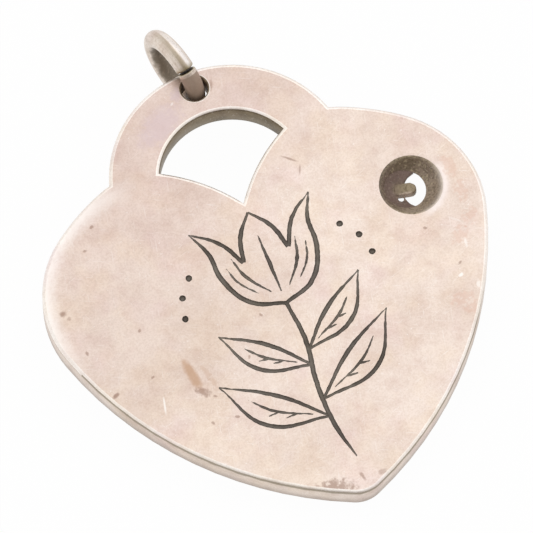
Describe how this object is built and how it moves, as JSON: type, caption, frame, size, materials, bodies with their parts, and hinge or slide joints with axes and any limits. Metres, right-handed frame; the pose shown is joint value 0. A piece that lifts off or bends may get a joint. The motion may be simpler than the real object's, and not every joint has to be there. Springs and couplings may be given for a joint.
{
  "type": "heart pendant",
  "caption": "Flat silver heart pendant shaped like a padlock, with a pierced shackle, a small cup holding a bead peg, and a split jump ring that swivels in its hole.",
  "frame": {"origin": "on the flat back of the plate, on the heart's line of symmetry, 19 mm above the point of the heart", "axes": "+X to the right seen from the front, +Y from the point of the heart to the ring, +Z out of the engraved front"},
  "size_m": [0.0336, 0.0398, 0.0066],
  "materials": {
    "worn_silver": "warm aged silver, softly burnished by wear, with dark tarnish in the grooves and along the walls",
    "dull_silver": "dull tarnished silver with solder round its foot",
    "bright_silver": "drawn silver wire, bright where it rubs and brown in the hollows"
  },
  "bodies": {
    "heart": {"heart_plate": "worn_silver", "bead_peg": "dull_silver"},
    "ring": {"jump_ring": "bright_silver"}
  },
  "joints": [
    {"name": "ring_swivel", "type": "hinge", "parent": "heart", "child": "ring", "pos_m": [0, 0.01519, 0.001], "axis": [0, 0, 1], "range_deg": [-90, 60]}
  ]
}
